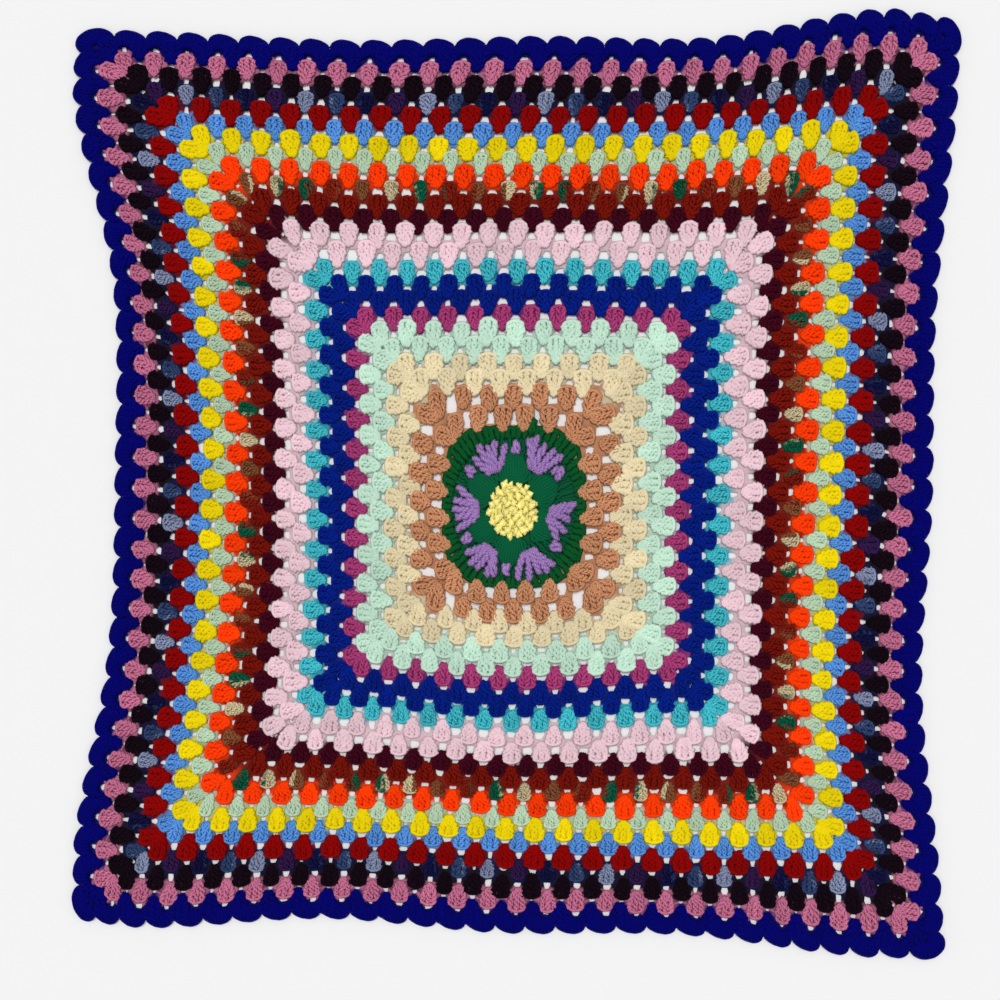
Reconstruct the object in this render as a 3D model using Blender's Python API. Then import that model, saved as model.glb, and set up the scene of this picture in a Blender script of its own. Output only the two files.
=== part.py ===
"""Granny square blanket, worked in one piece and laid out flat on a surface.

Units are metres and +Z is up. The origin is on the surface, under the middle of the
blanket's bounding box. +Y is the top edge, seen from above.

The blanket is drawn flat and square first, in pitches: one pitch is the distance from one
cluster of stitches to the next along a round. Round n has n clusters on each side, and its
clusters stand on a square ring. The flat drawing is then pulled out of square by two short
tables, because a soft blanket never lies dead square.
"""

import math
import random
from collections import namedtuple

import bmesh
import bpy
from mathutils import Vector
from mathutils.geometry import delaunay_2d_cdt

# ---------------------------------------------------------------- driving dimensions
PITCH = 0.029            # between neighbouring clusters of one round
FIRST_ROUND = 6          # clusters on a side of the round that borders the flower
LAST_ROUND = 28          # clusters on a side of the last round of clusters
LACE_ROUNDS = (6, 7, 13, 14, 15, 16)   # their gaps are the widest, and are cut through
PLAIN_STEP = 3           # clusters between two drawn points where no gap is cut

# Heights above the surface.
RIDGE_UP = 0.0050        # along the middle of a round, where the clusters are thick
VALLEY_UP = 0.0032       # between two rounds
GAP_RIM_UP = 0.0030      # round a gap
NOTCH_UP = 0.0026        # between two shells of the edging
SHELL_RIM_UP = 0.0034    # round a shell
UNEVEN_UP = 0.0004       # how far the handwork varies

# Places in a round, in pitches.
ROW = 0.5                # from one round to the next
RING_INSET = 0.13        # a round of n clusters stands n * ROW - RING_INSET from the middle
GAP_FOOT = 0.25          # a gap begins this far outside its round, in the valley
GAP_WAIST = 0.40         # where the gap is widest
GAP_HALF_WIDTH = 0.17
CORNER_SPACE = 0.10      # the corner of a valley lies this far outside the ring's corner

# Shells of the edging, in pitches.
EDGE_BAND_AT = 14.42     # middle of the edging, from the middle of the blanket
NOTCH_AT = 14.62
SHELL_DEPTH = 0.36       # from the notches to the top of a shell
SHELL_LEAN = 0.12        # the shells lean clockwise
SHELL_SQUARENESS = 2.4
SHELL_POINTS = (-0.75, -0.25, 0.25, 0.75)
CORNER_SHELL_AT = 13.96  # the corner shells fan out round this point of the diagonal
CORNER_SHELL_REACH = 0.67
CORNER_SHELL_DEPTH = 0.54
CORNER_SHELL_POINTS = (-0.8, -0.45, 0.0, 0.45, 0.8)
SHELL_VARIATION = 0.10

# The flower: rings of points, radius in pitches, height above the surface. Petals, leaves
# and the grooves between them follow each other round the flower.
FlowerRing = namedtuple("FlowerRing", "radius leaf groove fan")
FLOWER_RINGS = (
    FlowerRing(1.05, 0.0048, 0.0042, 0.0048),
    FlowerRing(1.45, 0.0072, 0.0048, 0.0066),
    FlowerRing(2.00, 0.0060, 0.0048, 0.0074),
    FlowerRing(2.28, 0.0044, 0.0044, 0.0044),
    FlowerRing(2.62, 0.0056, 0.0050, 0.0056),
)
PETALS = 6               # leaves, with a fan between each two
BobbleRing = namedtuple("BobbleRing", "radius count bobble dip")
BOBBLE_RINGS = (
    BobbleRing(0.45, 10, 0.0120, 0.0104),
    BobbleRing(0.82, 14, 0.0092, 0.0074),
)
FLOWER_TOP_UP = 0.0124

# How the blanket lies: millimetres by which a station of the flat square has moved. A row
# is a station counted in pitches up from the middle, and a column one counted to the right.
LieRow = namedtuple("LieRow", "at w15 w12 w6 mid e6 e12 e15")
LIE_STATIONS = (-15.0, -12.0, -6.0, 0.0, 6.0, 12.0, 15.0)
MOVED_RIGHT = (
    LieRow(-15, -5, -16, -17, -19, -14, -17, -14),
    LieRow(-12, -3, -5, -10, -14, -14, -20, -20),
    LieRow(-6, 29, 19, 5, -6, -14, -32, -37),
    LieRow(0, 36, 30, 9, -6, -13, -24, -27),
    LieRow(6, 34, 22, 10, -3, -10, -16, -23),
    LieRow(12, -4, 5, 7, 9, 6, -4, -3),
    LieRow(15, -1, 6, 13, 24, 16, 8, 1),
)
MOVED_UP = (
    LieRow(-15, 8, -1, 8, -6, -8, -29, -31),
    LieRow(-12, 9, 2, 2, -7, -12, -18, -30),
    LieRow(-6, 11, 3, -7, -21, -13, -19, -25),
    LieRow(0, 15, 8, -7, -23, -10, -9, -19),
    LieRow(6, 25, 14, -3, -2, -4, 5, -4),
    LieRow(12, 23, 14, 5, 3, 6, 22, 20),
    LieRow(15, 16, 13, 5, 9, 8, 36, 24),
)

YARN_COLOUR = (0.30, 0.16, 0.22, 1.0)
SEED = 11
MILLIMETRE = 0.001
WHOLE_HULL = 0           # the triangulation's output type that keeps every triangle
CDT_NEARNESS = 1e-7      # pitches within which it would merge two points


# ---------------------------------------------------------------- how it lies
def smooth_between(stations, values, at):
    """Cubic curve through values at stations, read at one place."""
    last = len(stations) - 1
    slopes = []
    for i in range(last + 1):
        before = max(i - 1, 0)
        after = min(i + 1, last)
        slopes.append((values[after] - values[before]) / (stations[after] - stations[before]))
    k = 0
    while k < last - 1 and at > stations[k + 1]:
        k += 1
    span = stations[k + 1] - stations[k]
    t = (at - stations[k]) / span
    rise = t * t * (3 - 2 * t)
    start_pull = span * slopes[k] * t * (1 - t) ** 2
    end_pull = span * slopes[k + 1] * t * t * (t - 1)
    return values[k] + (values[k + 1] - values[k]) * rise + start_pull + end_pull


def moved(table, x, y):
    """Metres by which the flat place x, y has moved, read from one of the tables."""
    rows = [smooth_between(LIE_STATIONS, row[1:], x) for row in table]
    return MILLIMETRE * smooth_between([row.at for row in table], rows, y)


def lie(x, y):
    """Where the flat place x, y (pitches from the middle) lies, in metres."""
    return x * PITCH + moved(MOVED_RIGHT, x, y), y * PITCH + moved(MOVED_UP, x, y)


# ---------------------------------------------------------------- the flat drawing
def on_side(side, along, out):
    """Flat place on one side of the square; the sides follow each other clockwise."""
    if side == 0:
        return along, out
    if side == 1:
        return out, -along
    if side == 2:
        return -along, -out
    return -out, along


def ring_at(n):
    """Distance of round n from the middle."""
    return n * ROW - RING_INSET


def cluster_places(n):
    """Places of a round's clusters along one side."""
    return [j - (n - 1) / 2 for j in range(n)]


def spaced(places):
    """A few of the places, with the first and the last."""
    return places[:-1:PLAIN_STEP] + places[-1:]


class Drawing:
    """The flat drawing: points with heights, lines that must stay edges, and cut-outs."""

    def __init__(self):
        self.points = []
        self.heights = []
        self.lines = []
        self.loops = []
        self.chance = random.Random(SEED)

    def point(self, place, height, uneven=True):
        """Adds a point and returns its number."""
        self.points.append(Vector(place))
        vary = self.chance.uniform(-UNEVEN_UP, UNEVEN_UP) if uneven else 0.0
        self.heights.append(height + vary)
        return len(self.points) - 1

    def close(self, numbers):
        """Joins points into a closed line on the surface."""
        for a, b in zip(numbers, numbers[1:] + numbers[:1]):
            self.lines.append((a, b))


def draw_gaps(drawing, n):
    """Cuts the gaps outside round n; returns the feet and heads of each side's gaps."""
    ring = ring_at(n)
    feet = []
    heads = []
    for side in range(4):
        for along in cluster_places(n):
            kite = (
                (along, ring + GAP_FOOT),
                (along + GAP_HALF_WIDTH, ring + GAP_WAIST),
                (along, ring + ROW),
                (along - GAP_HALF_WIDTH, ring + GAP_WAIST),
            )
            loop = [drawing.point(on_side(side, *place), GAP_RIM_UP) for place in kite]
            drawing.loops.append(loop)
            feet.append(loop[0])
            heads.append(loop[2])
    return feet, heads


def draw_ridge(drawing, n, heads):
    """The raised line along round n, which dips at the gaps that end on it."""
    line = []
    for side in range(4):
        places = cluster_places(n) if heads else spaced(cluster_places(n))
        for j, along in enumerate(places):
            line.append(drawing.point(on_side(side, along, ring_at(n)), RIDGE_UP))
            if heads and j < len(places) - 1:
                line.append(heads.pop(0))
    drawing.close(line)


def draw_valley(drawing, n, feet):
    """The low line outside round n, through the feet of its gaps where it has them."""
    line = []
    corner = ring_at(n) + CORNER_SPACE
    for side in range(4):
        if feet:
            line += feet[side * n:(side + 1) * n]
        else:
            for along in spaced(cluster_places(n)):
                line.append(drawing.point(on_side(side, along, ring_at(n) + GAP_FOOT), VALLEY_UP))
        line.append(drawing.point(on_side(side, corner, corner), VALLEY_UP))
    drawing.close(line)


def draw_rounds(drawing):
    """All the rounds of clusters, from the flower out."""
    heads = []
    for n in range(FIRST_ROUND, LAST_ROUND + 1):
        draw_ridge(drawing, n, heads)
        feet = []
        heads = []
        if n in LACE_ROUNDS:
            feet, heads = draw_gaps(drawing, n)
        draw_valley(drawing, n, feet)


def draw_flower(drawing):
    """The flower in the middle: bobbles, leaves with fans between them, and a rim."""
    drawing.point((0.0, 0.0), FLOWER_TOP_UP)
    for ring in BOBBLE_RINGS:
        line = []
        for k in range(2 * ring.count):
            turn = math.tau * k / (2 * ring.count)
            height = ring.bobble if k % 2 else ring.dip
            place = (ring.radius * math.cos(turn), ring.radius * math.sin(turn))
            line.append(drawing.point(place, height))
        drawing.close(line)
    for ring in FLOWER_RINGS:
        line = []
        heights = (ring.fan, ring.groove, ring.leaf, ring.groove)
        for k in range(len(heights) * PETALS):
            turn = math.tau * k / (len(heights) * PETALS)
            place = (ring.radius * math.cos(turn), ring.radius * math.sin(turn))
            line.append(drawing.point(place, heights[k % len(heights)]))
        drawing.close(line)


def draw_shells(drawing):
    """The edging: a raised band with a shell over each cluster and one at each corner."""
    rim = []
    band = []
    for side in range(4):
        for along in cluster_places(LAST_ROUND):
            middle = along + SHELL_LEAN
            deep = SHELL_DEPTH * drawing.chance.uniform(1 - SHELL_VARIATION, 1 + SHELL_VARIATION)
            notch = on_side(side, middle - 0.5, NOTCH_AT)
            rim.append(drawing.point(notch, NOTCH_UP, uneven=False))
            for s in SHELL_POINTS:
                out = NOTCH_AT + deep * math.sqrt(1 - abs(s) ** SHELL_SQUARENESS)
                place = on_side(side, middle + s / 2, out)
                rim.append(drawing.point(place, SHELL_RIM_UP, uneven=False))
            band.append(drawing.point(on_side(side, middle - 0.5, EDGE_BAND_AT), VALLEY_UP))
            band.append(drawing.point(on_side(side, middle, EDGE_BAND_AT), RIDGE_UP))
        draw_corner_shell(drawing, side, rim)
        corner = on_side(side, EDGE_BAND_AT, EDGE_BAND_AT)
        band.append(drawing.point(corner, RIDGE_UP))
    drawing.close(band)
    drawing.loops.insert(0, rim)


def draw_corner_shell(drawing, side, rim):
    """Adds the points of the shell that fans out round a corner to the rim."""
    start = on_side(side, LAST_ROUND / 2 + SHELL_LEAN, NOTCH_AT)
    rim.append(drawing.point(start, NOTCH_UP, uneven=False))
    lean = math.asin(SHELL_LEAN / CORNER_SHELL_REACH)
    for s in CORNER_SHELL_POINTS:
        turn = math.radians(45) * (1 - s) - lean
        out = CORNER_SHELL_REACH + CORNER_SHELL_DEPTH * math.sqrt(1 - abs(s) ** SHELL_SQUARENESS)
        along = CORNER_SHELL_AT + out * math.cos(turn)
        away = CORNER_SHELL_AT + out * math.sin(turn)
        rim.append(drawing.point(on_side(side, along, away), SHELL_RIM_UP, uneven=False))


# ---------------------------------------------------------------- the solid
def triangles(points, lines, loops):
    """Triangles over the points, inside the first loop and outside all the others."""
    rims = [pair for loop in loops for pair in zip(loop, loop[1:] + loop[:1])]
    verts, _, faces, numbers, _, _ = delaunay_2d_cdt(
        points, lines + rims, [], WHOLE_HULL, CDT_NEARNESS, True)
    if len(verts) != len(points):
        raise ValueError("two lines of the drawing cross")
    loop_of = {number: i for i, loop in enumerate(loops) for number in loop}
    found = [[numbers[i][0] for i in face] for face in faces]
    return [face for face in found if is_cloth(face, points, loop_of)]


def is_cloth(face, points, loop_of):
    """Tells cloth from air where a triangle's corners are all on one loop.

    The rim is drawn clockwise and each gap the other way, so such a triangle is cloth only
    if its corners, in the order of the loop, wind clockwise.
    """
    loops = {loop_of.get(number) for number in face}
    if len(loops) > 1 or None in loops:
        return True
    a, b, c = (points[number] for number in sorted(face))
    return (b - a).cross(c - a) < 0


def underside(drawing):
    """Triangles of the flat underside, which needs only the points of the rims."""
    rims = [number for loop in drawing.loops for number in loop]
    order = {number: i for i, number in enumerate(rims)}
    points = [drawing.points[number] for number in rims]
    loops = [[order[number] for number in loop] for loop in drawing.loops]
    return [[rims[i] for i in face] for face in triangles(points, [], loops)]


def centred(places):
    """The places, moved so that the middle of their bounding box is at the origin."""
    xs = [x for x, _ in places]
    ys = [y for _, y in places]
    mid_x = (min(xs) + max(xs)) / 2
    mid_y = (min(ys) + max(ys)) / 2
    return [(x - mid_x, y - mid_y) for x, y in places]


def blanket_mesh(drawing):
    """The closed solid: the drawn top as it lies, straight walls and a flat underside."""
    places = centred([lie(x, y) for x, y in drawing.points])
    bm = bmesh.new()
    top = [bm.verts.new((x, y, z)) for (x, y), z in zip(places, drawing.heights)]
    foot = {n: bm.verts.new((*places[n], 0.0)) for loop in drawing.loops for n in loop}
    for face in triangles(drawing.points, drawing.lines, drawing.loops):
        bm.faces.new([top[n] for n in face])
    for face in underside(drawing):
        bm.faces.new([foot[n] for n in face])
    for loop in drawing.loops:
        for a, b in zip(loop, loop[1:] + loop[:1]):
            bm.faces.new((top[a], top[b], foot[b], foot[a]))
    bmesh.ops.triangulate(bm, faces=bm.faces[:])
    bmesh.ops.recalc_face_normals(bm, faces=bm.faces[:])
    mesh = bpy.data.meshes.new("blanket")
    bm.to_mesh(mesh)
    bm.free()
    mesh.shade_smooth()
    mesh.set_sharp_from_angle(angle=math.radians(40))
    return mesh


def yarn_material():
    """Soft acrylic yarn, in the blanket's middling colour."""
    material = bpy.data.materials.new("yarn")
    material.use_nodes = True
    shader = material.node_tree.nodes["Principled BSDF"]
    shader.inputs["Base Color"].default_value = YARN_COLOUR
    shader.inputs["Roughness"].default_value = 0.95
    shader.inputs["Metallic"].default_value = 0.0
    return material


def main():
    for old in list(bpy.data.objects):
        bpy.data.objects.remove(old)
    parts = bpy.data.collections.new("granny square blanket")
    bpy.context.scene.collection.children.link(parts)
    drawing = Drawing()
    draw_shells(drawing)
    draw_rounds(drawing)
    draw_flower(drawing)
    blanket = bpy.data.objects.new("blanket", blanket_mesh(drawing))
    blanket.data.materials.append(yarn_material())
    parts.objects.link(blanket)


main()
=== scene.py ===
"""Granny square blanket: the visual model, stitch by stitch.

The blanket is drawn flat and square in pitches (one pitch from a cluster of stitches to the
next along a round) and then laid out by the two tables of Lie, which come from a least-squares
fit. Every cluster, shell and petal is a small pattern of yarn strands, made once or a few times
with bmesh operators and then repeated wherever it stands. Sizes in the drawing and its patterns
are pitches, and those of the sheet, the studio and the materials are metres.
"""

import logging
import math
from dataclasses import dataclass, field
from enum import Enum

import bmesh
import bpy
import numpy as np
from mathutils import Matrix, Vector
from mathutils.geometry import delaunay_2d_cdt


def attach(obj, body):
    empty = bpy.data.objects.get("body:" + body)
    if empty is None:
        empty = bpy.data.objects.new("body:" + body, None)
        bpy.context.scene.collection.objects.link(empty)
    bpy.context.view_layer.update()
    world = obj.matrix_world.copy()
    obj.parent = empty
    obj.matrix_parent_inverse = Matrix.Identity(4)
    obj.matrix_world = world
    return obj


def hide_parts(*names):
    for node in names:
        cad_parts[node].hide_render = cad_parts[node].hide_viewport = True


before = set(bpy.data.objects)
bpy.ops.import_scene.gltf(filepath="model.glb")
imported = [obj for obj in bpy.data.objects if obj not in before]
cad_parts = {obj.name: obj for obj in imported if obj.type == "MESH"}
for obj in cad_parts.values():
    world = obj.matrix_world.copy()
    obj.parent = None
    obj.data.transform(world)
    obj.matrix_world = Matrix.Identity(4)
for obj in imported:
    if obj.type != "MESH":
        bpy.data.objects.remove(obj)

LOG = logging.getLogger("blanket")
PITCH = 0.029            # metres from a cluster to the next
ROW = 0.5                # pitches from a round to the next
RING_INSET = 0.13        # pitches by which a round runs inside the line of its row
FIRST_ROUND = 6
LAST_ROUND = 28
EDGE_ROUND = 29
SEED = 7
UPRIGHT = 1e-4           # lean of a strand below which it counts as upright
MILLIMETRES = 1000       # in a metre


def put(name: str, data: bpy.types.ID) -> bpy.types.Object:
    """Puts data into the scene as an object.

    Args:
        name: the object's name.
        data: its mesh, light or camera.

    Returns:
        The object.
    """
    made = bpy.data.objects.new(name, data)
    bpy.context.scene.collection.objects.link(made)
    return made


# ------------------------------------------------------------------ shader expressions
class Value:
    """A number in a shader, which Python's operators turn into Math nodes."""

    def __init__(self, net: "Network", socket: bpy.types.NodeSocket) -> None:
        """Wraps an output socket of the network's tree."""
        self.net = net
        self.socket = socket

    def _math(self, operation: str, *values: object) -> "Value":
        """Adds a Math node.

        Args:
            operation: the node's operation.
            values: what goes into its sockets, in order.

        Returns:
            The node's result.
        """
        return self.net.node("ShaderNodeMath", {"operation": operation}, dict(enumerate(values)))

    def __add__(self, other: object) -> "Value":
        """Returns the sum."""
        return self._math("ADD", self, other)

    __radd__ = __add__

    def __sub__(self, other: object) -> "Value":
        """Returns the difference."""
        return self._math("SUBTRACT", self, other)

    def __rsub__(self, other: object) -> "Value":
        """Returns the difference from a plain number."""
        return self._math("SUBTRACT", other, self)

    def __mul__(self, other: object) -> "Value":
        """Returns the product."""
        return self._math("MULTIPLY", self, other)

    __rmul__ = __mul__

    def sine(self) -> "Value":
        """Returns the sine."""
        return self._math("SINE", self)


class Network:
    """The node tree of one material, ending in a Principled shader."""

    def __init__(self, name: str) -> None:
        """Starts an empty material.

        Args:
            name: the material's name.
        """
        self.material = bpy.data.materials.new(name)
        self.material.use_nodes = True
        self.tree = self.material.node_tree
        self.shader = self.tree.nodes["Principled BSDF"]

    def node(self, kind: str, settings: dict, sockets: dict, out: object = 0) -> Value:
        """Adds one node.

        Args:
            kind: the node's type.
            settings: its own properties, set first.
            sockets: values or links, by the socket's name or number.
            out: name or number of the output that is wanted.

        Returns:
            That output.
        """
        made = self.tree.nodes.new(kind)
        for key, value in settings.items():
            setattr(made, key, value)
        for key, value in sockets.items():
            self.feed(made.inputs[key], value)
        return Value(self, made.outputs[out])

    def feed(self, socket: bpy.types.NodeSocket, value: object) -> None:
        """Links a value to a socket, or sets it where it is a plain number or tuple.

        Args:
            socket: the input that is fed.
            value: what goes into it.
        """
        if isinstance(value, Value):
            self.tree.links.new(value.socket, socket)
        else:
            socket.default_value = value

    def attribute(self, name: str, out: str = "Fac") -> Value:
        """Returns an attribute of the mesh."""
        return self.node("ShaderNodeAttribute", {"attribute_name": name}, {}, out)

    def noise(self, scale: float, detail: float) -> Value:
        """Returns noise from 0 to 1 that is fixed to the piece.

        Args:
            scale: waves in a metre.
            detail: how many finer layers it has.

        Returns:
            The noise's value.
        """
        place = self.node("ShaderNodeTexCoord", {}, {}, "Object")
        return self.node(
            "ShaderNodeTexNoise", {}, {"Vector": place, "Scale": scale, "Detail": detail}, "Fac")

    def scaled(self, colour: object, by: Value) -> Value:
        """Returns a colour made lighter or darker by a value."""
        return self.node(
            "ShaderNodeVectorMath", {"operation": "SCALE"}, {0: colour, "Scale": by})

    def bump(self, height: Value, strength: float) -> Value:
        """Returns the normal of a surface with that relief."""
        sockets = {"Strength": strength, "Distance": RELIEF, "Height": height}
        return self.node("ShaderNodeBump", {}, sockets)

    def finish(self, **sockets: object) -> bpy.types.Material:
        """Sets the Principled shader's sockets.

        Args:
            sockets: values or links by the socket's name, with _ for a space.

        Returns:
            The material.
        """
        for key, value in sockets.items():
            self.feed(self.shader.inputs[key.replace("_", " ")], value)
        return self.material


# ------------------------------------------------------------------ finishes
def linear(red: int, green: int, blue: int) -> tuple:
    """Turns a display colour into a shader's, by the sRGB curve.

    Args:
        red: from 0 to 255, as the others.
        green: the same.
        blue: the same.

    Returns:
        The colour's three linear parts.
    """
    parts = (red / 255, green / 255, blue / 255)
    return tuple(c / 12.92 if c <= 0.04045 else ((c + 0.055) / 1.055) ** 2.4 for c in parts)


YARN_TWISTS = 400.0      # turns of the plies in a metre of yarn
YARN_PLIES = 3.0
# painted light and shade of the plies' crests and grooves, as a share of the colour
PLY_PAINTED_SHADE = 0.22
PLY_RELIEF = 0.6
FIBRE_WAVES = 1300.0     # in a metre
FIBRE_DETAIL = 3.0
FIBRE_CONTRAST = 0.40
PATCH_WAVES = 110.0      # in a metre
PATCH_DETAIL = 1.0
PATCH_SHADE = 0.92
PATCH_CONTRAST = 0.20
PAINTED_TOP_LIGHT = 0.1       # painted light: how much lighter the tops of the strands are painted
PAINTED_HOLLOW_SHADE = 0.35      # painted shade: how much darker the places between the strands are painted
DYE_BLEND = 0.05
MARL_WAVES = 240.0       # patches in a metre where a variegated yarn's colours mix
MARL_DETAIL = 2.0
DYE_MARL = 0.30          # how far they mix, as a share of the repeat
ROUGHNESS_RANGE = 0.25
RELIEF = 0.0005          # metres of bump


@dataclass(frozen=True)
class Yarn:
    """Acrylic yarn of one dye lot.

    One colour makes a plain yarn. Several follow each other along a variegated one, and repeat
    after that many clusters. contrast is how strongly light and dark fibres differ, and how deep
    the painted shade between the strands and plies is, and fluff how far the strands swell and
    settle into each other, from 0 to 1.
    """

    name: str
    colours: tuple
    repeat: float = 1.0
    start: float = 0.0
    contrast: float = 1.0
    fluff: float = 0.0
    roughness: float = 0.78
    sheen: float = 0.01
    sheen_roughness: float = 0.5
    gloss: float = 0.06
    least_relief: float = 0.2
    relief: float = 0.5

    def colour_at(self, turn: float) -> tuple:
        """Returns the linear colour at a place in the repeat, from 0 to 1."""
        return linear(*self.colours[int(turn * len(self.colours)) % len(self.colours)])

    def material(self) -> bpy.types.Material:
        """Builds the yarn's material: plies with painted shade in their grooves, fibres, dye, and
        painted shade between the strands with painted light on their tops.

        Returns:
            The finish, which reads the strand map, the shade attribute, the depth by which shade is
            painted, and the dye attribute.
        """
        net = Network(self.name + "_yarn")
        places = net.node("ShaderNodeUVMap", {"uv_map": "strand"}, {})
        along = net.node("ShaderNodeSeparateXYZ", {}, {"Vector": places}, "X")
        around = net.node("ShaderNodeSeparateXYZ", {}, {"Vector": places}, "Y")
        plies = (math.tau * (along * YARN_TWISTS + around * YARN_PLIES)).sine()
        fibres = net.noise(FIBRE_WAVES, FIBRE_DETAIL)
        patches = net.noise(PATCH_WAVES, PATCH_DETAIL)
        mottle = 1.0 + FIBRE_CONTRAST * self.contrast * (fibres - 0.5)
        mottle = mottle * (PATCH_SHADE + PATCH_CONTRAST * patches)
        # painted shade between the strands, darker lower down, and painted light on their tops
        painted_depth_shade = 1.0 + self.contrast * (PAINTED_TOP_LIGHT - PAINTED_HOLLOW_SHADE * net.attribute("painted_depth_shade"))
        # the plies' twist painted as lighter crests and shaded grooves
        twist = 1.0 + PLY_PAINTED_SHADE * self.contrast * plies
        # the shade attribute: random tone, and painted shade under the flower's fans and bobbles
        light = mottle * twist * net.attribute("shade") * painted_depth_shade
        return net.finish(
            Base_Color=net.scaled(self._dye(net), light),
            Roughness=self.roughness + ROUGHNESS_RANGE * (fibres - 0.5),
            Sheen_Weight=self.sheen,
            Sheen_Roughness=self.sheen_roughness,
            Specular_IOR_Level=self.gloss,
            Normal=net.bump(
                plies * PLY_RELIEF + fibres, self.least_relief + self.relief * self.contrast),
        )

    def _dye(self, net: Network) -> object:
        """Finds the yarn's colour.

        Args:
            net: the material that it goes into.

        Returns:
            The plain colour, or a ramp of the colours along a variegated yarn.
        """
        if len(self.colours) == 1:
            return linear(*self.colours[0])
        marl = net.noise(MARL_WAVES, MARL_DETAIL)
        place = net.attribute("dye") + DYE_MARL * (marl - 0.5)
        ramp = net.node("ShaderNodeValToRGB", {}, {"Fac": place}, "Color")
        stops = ramp.socket.node.color_ramp.elements
        share = 1 / len(self.colours)
        stops[0].color = (*linear(*self.colours[0]), 1.0)
        stops[0].position = 0.0
        stops[1].color = (*linear(*self.colours[0]), 1.0)
        stops[1].position = share - DYE_BLEND
        for i, colour in enumerate(self.colours[1:], 1):
            for at in (i * share + DYE_BLEND, (i + 1) * share - DYE_BLEND):
                stops.new(at).color = (*linear(*colour), 1.0)
        return ramp


TAN = Yarn("tan", ((206, 146, 107),))
CREAM = Yarn("cream", ((230, 216, 179),), contrast=0.2, fluff=0.9)
MINT = Yarn("mint", ((201, 231, 212),), contrast=0.2, fluff=0.9)
PLUM = Yarn("plum", ((176, 65, 124),))
ROYAL_BLUE = Yarn("royal_blue", ((0, 32, 138),))
TURQUOISE = Yarn("turquoise", ((72, 196, 210),))
PALE_PINK = Yarn("pale_pink", ((236, 205, 214),), contrast=0.15, fluff=0.9)
MAROON = Yarn("maroon", ((66, 2, 26),))
RUST = Yarn("rust", ((124, 18, 5),))
AUTUMN = Yarn(
    "autumn", ((216, 200, 160), (2, 94, 67), (136, 30, 14), (142, 86, 53)), 4.4, 3.85,
    contrast=1.6)
ORANGE = Yarn("orange", ((255, 66, 2),), contrast=0.5, fluff=0.4)
PALE_MINT = Yarn("pale_mint", ((189, 213, 184),), contrast=0.4, fluff=0.7)
YELLOW = Yarn("yellow", ((236, 214, 9),), contrast=0.15, fluff=1.0)
LIGHT_BLUE = Yarn("light_blue", ((94, 154, 226),))
DARK_RED = Yarn("dark_red", ((141, 0, 0),), contrast=0.2, fluff=1.0)
MIDNIGHT = Yarn(
    "midnight", ((144, 154, 186), (54, 74, 118), (14, 16, 66), (54, 26, 78)), 4.0, 3.0,
    contrast=1.6)
AUBERGINE = Yarn("aubergine", ((20, 4, 18),))
ROSE = Yarn("rose", ((203, 117, 151),))
NAVY = Yarn("navy", ((0, 0, 110),), contrast=0.7, fluff=0.4)
LEAF_GREEN = Yarn("leaf_green", ((6, 92, 58),), contrast=0.6)
DARK_GREEN = Yarn("dark_green", ((8, 86, 40),), contrast=0.45)
LAVENDER = Yarn("lavender", ((164, 128, 190),))
BUTTER = Yarn("butter", ((252, 240, 146),), contrast=0.6)


@dataclass(frozen=True)
class Stripe:
    """Neighbouring rounds worked in one yarn.

    fullness is the width of a cluster beside an ordinary one, out is how far, in pitches, the
    clusters stand outside their ring, and gap is the width and height of the gaps between
    them beside ordinary ones.
    """

    yarn: Yarn
    rounds: tuple
    fullness: float = 1.0
    out: float = 0.0
    gap: tuple = (1.0, 1.0)


STRIPES = (
    Stripe(TAN, (6, 7), 1.15, 0.0, (0.95, 1.65)),
    Stripe(CREAM, (8, 9), 1.16, -0.02, (0.65, 0.7)),
    Stripe(MINT, (10, 11), 1.13, 0.0, (0.70, 0.75)),
    Stripe(PLUM, (12,), 1.02, -0.02, (1.0, 1.05)),
    Stripe(ROYAL_BLUE, (13, 14), 1.04, 0.0, (0.80, 0.85)),
    Stripe(TURQUOISE, (15,), 1.02, -0.02, (0.95, 1.05)),
    Stripe(PALE_PINK, (16, 17), 1.10, 0.0, (0.95, 1.15)),
    Stripe(MAROON, (18,), 1.05, 0.0, (0.85, 1.05)),
    Stripe(RUST, (19,), 1.07, 0.0, (0.83, 1.0)),
    Stripe(AUTUMN, (20,), 0.88, 0.0, (0.8, 1.0)),
    Stripe(ORANGE, (21,), 1.10, 0.0, (0.65, 0.85)),
    Stripe(PALE_MINT, (22,), 0.92, 0.0, (0.6, 0.75)),
    Stripe(YELLOW, (23,), 1.12, 0.0, (0.6, 0.8)),
    Stripe(LIGHT_BLUE, (24,), 0.99, 0.0, (0.90, 1.15)),
    Stripe(DARK_RED, (25,), 1.10, 0.0, (0.67, 1.0)),
    Stripe(MIDNIGHT, (26,), 0.90, 0.0, (0.63, 0.92)),
    Stripe(AUBERGINE, (27,), 1.04, 0.0, (0.66, 0.97)),
    Stripe(ROSE, (28,), 1.04, 0.0, (0.5, 0.6)),
)
EDGE_STRIPE = Stripe(NAVY, (EDGE_ROUND,), 1.14, 0.0, (0.62, 0.6))


# ------------------------------------------------------------------ how the blanket lies
class Side(Enum):
    """The sides of the square, clockwise, by their turn from the top in degrees."""

    TOP = 0
    RIGHT = -90
    BOTTOM = -180
    LEFT = -270

    def turned(self, flat: np.ndarray) -> np.ndarray:
        """Turns flat places of the top side round to this one."""
        return flat @ turning(math.radians(self.value)).T


def turning(angle: float) -> np.ndarray:
    """Returns the flat turn by an angle, anticlockwise."""
    return np.array(
        [[math.cos(angle), -math.sin(angle)], [math.sin(angle), math.cos(angle)]])


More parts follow.
